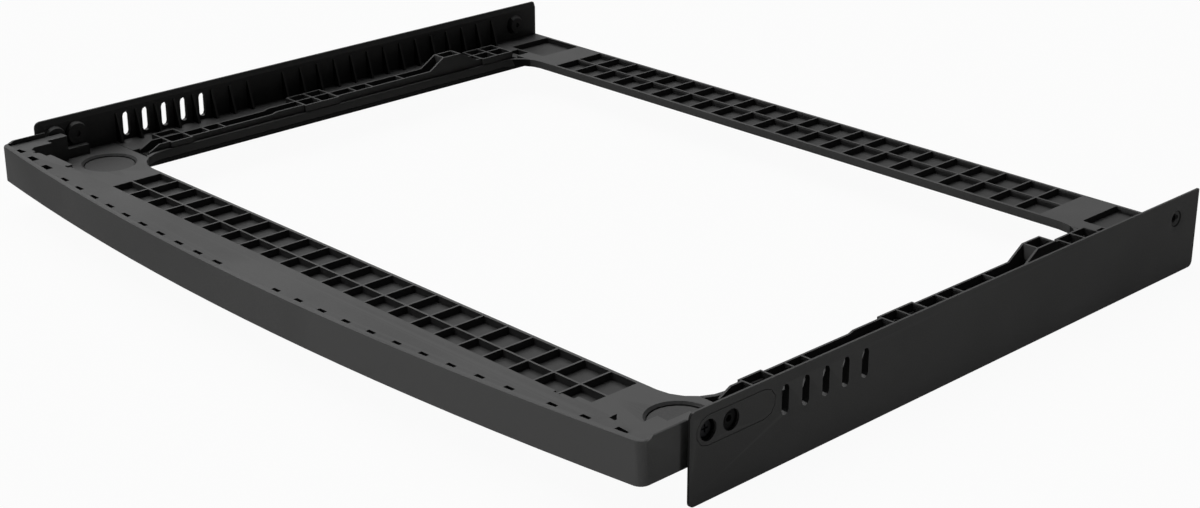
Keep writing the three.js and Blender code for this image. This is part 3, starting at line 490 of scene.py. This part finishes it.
def blackened_steel(name, colour, bright):
    """Steel with a thin black coat, metallic all over."""
    material, tree = new_material(name)
    place = add_node(tree, "ShaderNodeTexCoord").outputs["Object"]
    blotch = add_node(tree, "ShaderNodeTexNoise", inputs={"Scale": 1 / BLOTCH, "Detail": 4.0},
                      links={"Vector": place})
    gloss = add_node(tree, "ShaderNodeMapRange", inputs={"To Min": 0.3, "To Max": 0.5},
                     links={"Value": blotch.outputs["Fac"]})
    paint = add_node(tree, "ShaderNodeMix", settings={"data_type": "RGBA"},
                     inputs={"A": linear(colour), "B": linear(bright)},
                     links={"Factor": blotch.outputs["Fac"]})
    skin = add_node(tree, "ShaderNodeBsdfPrincipled", inputs={"Metallic": 1.0},
                    links={"Base Color": paint.outputs["Result"],
                           "Roughness": gloss.outputs["Result"]})
    add_node(tree, "ShaderNodeOutputMaterial", links={"Surface": skin.outputs["BSDF"]})
    return material


black_zinc = blackened_steel("black_zinc_steel", "1c1c1d", "333335")
print("metal finish:", black_zinc.name)

# %% [markdown]
# Each piece keeps its shape and only gets a finish.

# %% Dress every piece
FINISHES = [
    (charcoal_abs, ["front_tray", "rear_tray", "fascia_cover"]),
    (slotted_abs, ["front_beam"]),
    (plate_abs, [f"{side}_side_plate" for side in SIDES]),
    (black_abs, [f"{side}_{piece}" for side in SIDES for piece in ("screw_insert", "ribbed_rail")]),
    (disc_elastomer, [f"{side}_foot_disc" for side in SIDES]),
    (strip_elastomer, [f"{side}_anti_slip_strip" for side in SIDES]),
    (black_zinc, [name for name in nodes if "screw" in name and "insert" not in name]),
]
for finish, names in FINISHES:
    for name in names:
        shown[name].data.materials.clear()
        shown[name].data.materials.append(finish)
print("dressed:", sum(len(names) for _, names in FINISHES), "of", len(nodes))

# %% [markdown]
# The photograph has a plain white ground. Here that is a large sheet of pale
# grey card, so that it sends light up under the frame as a real floor does. A
# card that is lit to pure white would need too much light on the object, so the
# camera sees mostly an even white glow, with enough of the card left in it to
# keep the shadow. Mirror and glass rays see the glow dimmer, because a fully
# white floor in the sheen of dark plastic would turn it grey.

# %% Floor and world
MIRROR_GLOW = 0.25
AMBIENT = 0.02  # the light that comes from everywhere
FLOOR_SIZE = 60.0
FLOOR_GAP = 0.2 * MM  # keeps the card clear of the plates' bottom edges


def add_glow(tree, part_seen):
    """White for the camera, dimmer for mirror and glass rays, and where it applies."""
    rays = add_node(tree, "ShaderNodeLightPath")
    mirrored = add_node(tree, "ShaderNodeMath", settings={"operation": "MAXIMUM"},
                        links={0: rays.outputs["Is Glossy Ray"],
                               1: rays.outputs["Is Transmission Ray"]})
    direct = add_node(tree, "ShaderNodeMath", settings={"operation": "MULTIPLY"},
                      inputs={1: part_seen}, links={0: rays.outputs["Is Camera Ray"]})
    where = add_node(tree, "ShaderNodeMath", settings={"operation": "MAXIMUM"},
                     links={0: mirrored.outputs[0], 1: direct.outputs[0]})
    strength = add_node(tree, "ShaderNodeMapRange", inputs={"To Min": MIRROR_GLOW, "To Max": 1.0},
                        links={"Value": rays.outputs["Is Camera Ray"]})
    return where.outputs[0], strength.outputs["Result"]


def white_card(name, colour, part_seen):
    """A pale card that looks white to the camera in that part, and is lit in the rest."""
    material, tree = new_material(name)
    where, strength = add_glow(tree, part_seen)
    card = add_node(tree, "ShaderNodeBsdfDiffuse", inputs={"Color": linear(colour)})
    glow = add_node(tree, "ShaderNodeEmission", inputs={"Color": linear("ffffff")},
                    links={"Strength": strength})
    mix = add_node(tree, "ShaderNodeMixShader",
                   links={0: where, 1: card.outputs[0], 2: glow.outputs[0]})
    add_node(tree, "ShaderNodeOutputMaterial", links={"Surface": mix.outputs[0]})
    return material


bpy.ops.mesh.primitive_plane_add(size=FLOOR_SIZE, location=(0, 0, -FLOOR_GAP))
floor = bpy.context.object
floor.name = "floor"
floor.data.materials.append(white_card("white_card", "a8a8a6", part_seen=0.95))

world = bpy.data.worlds.new("studio")
bpy.context.scene.world = world
world.use_nodes = True
sky = world.node_tree
sky.nodes.clear()
where, strength = add_glow(sky, part_seen=1.0)
ambient = add_node(sky, "ShaderNodeBackground",
                   inputs={"Color": linear("ffffff"), "Strength": AMBIENT})
ground = add_node(sky, "ShaderNodeBackground", inputs={"Color": linear("ffffff")},
                  links={"Strength": strength})
seen = add_node(sky, "ShaderNodeMixShader",
                links={0: where, 1: ambient.outputs[0], 2: ground.outputs[0]})
add_node(sky, "ShaderNodeOutputWorld", links={"Surface": seen.outputs[0]})
print("floor:", FLOOR_SIZE, "m of pale card")

# %% [markdown]
# In the photograph every top has one even tone, every front a darker one and
# every right side a darker one still, from end to end. Lamps close by would
# fade along the frame. Lamps at the distance of a sun don't, and a wide disc
# keeps their shadows soft. The broad one hangs high on the left, so the left
# plate shades its own ledge and the left wall of each cell stays black. The low
# one in front only brightens the fronts. The side plate on the right gets a long
# low strip lamp of its own, shorter than the plate, so that its light stays on
# the outer face and doesn't reach the other plate across the window. Strength is
# set by what a sheet that faces the lamp receives: at one, a colour looks as
# written.

# %% Lamps
SUN_MARK = 2.0  # a sun's place changes nothing, and this far out it shows the direction


def add_lamp(name, kind):
    """A lamp of that kind, in the scene."""
    data = bpy.data.lights.new(name, kind)
    lamp = bpy.data.objects.new(name, data)
    bpy.context.scene.collection.objects.link(lamp)
    return lamp, data


def broad_lamp(name, towards, width, level):
    """A lamp far away in that direction, and of that width in degrees."""
    lamp, data = add_lamp(name, "SUN")
    data.angle = math.radians(width)
    data.energy = level * math.pi
    lamp.location = Vector(towards).normalized() * SUN_MARK
    lamp.rotation_mode = "QUATERNION"
    lamp.rotation_quaternion = Vector(towards).to_track_quat("Z", "Y")


def strip_lamp(name, place, size, distance, level):
    """A flat lamp on the right that faces left; level is the light at that distance."""
    lamp, data = add_lamp(name, "AREA")
    data.shape = "RECTANGLE"
    data.size, data.size_y = size
    data.energy = level * (math.pi * distance) ** 2
    lamp.location = place
    lamp.rotation_euler = (math.radians(90), 0, math.radians(90))


broad_lamp("high_left_lamp", towards=(-0.57, 0.12, 0.82), width=64, level=1.16)
broad_lamp("low_front_lamp", towards=(-0.12, -1.0, 0.044), width=5, level=0.4)
strip_lamp("low_right_lamp", place=(1.3, 0.023, 0.02), size=(0.3, 0.03), distance=1.0, level=0.2)

# %% [markdown]
# The photograph was taken from the front right corner, a little above. The
# camera's place and lens below were solved from straight edges, equal slots and
# the 20 mm pitch of the cells, so that each edge falls where the photograph has it.

# %% Camera
PHOTO = (1200, 508)
FOCAL_PIXELS = 2102.25
PRINCIPAL_PIXEL = (603.95, 233.40)
AZIMUTH = math.radians(46.074)
ELEVATION = math.radians(21.331)
CAMERA_MM = (908.79, -840.75, 486.37)

data = bpy.data.cameras.new("photo_camera")
camera = bpy.data.objects.new("photo_camera", data)
bpy.context.scene.collection.objects.link(camera)
data.sensor_width = 36.0
data.lens = FOCAL_PIXELS * data.sensor_width / PHOTO[0]
data.shift_x = (PHOTO[0] / 2 - PRINCIPAL_PIXEL[0]) / PHOTO[0]
data.shift_y = (PRINCIPAL_PIXEL[1] - PHOTO[1] / 2) / PHOTO[0]
right = Vector((math.cos(AZIMUTH), math.sin(AZIMUTH), 0))
back = Vector((math.sin(AZIMUTH) * math.cos(ELEVATION),
               -math.cos(AZIMUTH) * math.cos(ELEVATION), math.sin(ELEVATION)))
up = back.cross(right)
turn = Matrix((right, up, back)).transposed().to_4x4()
camera.matrix_world = Matrix.Translation(Vector(CAMERA_MM) * MM) @ turn
data.clip_start, data.clip_end = 0.01, 200
bpy.context.scene.camera = camera
bpy.context.scene.view_settings.view_transform = "Standard"
print("lens:", round(data.lens, 2), "mm")
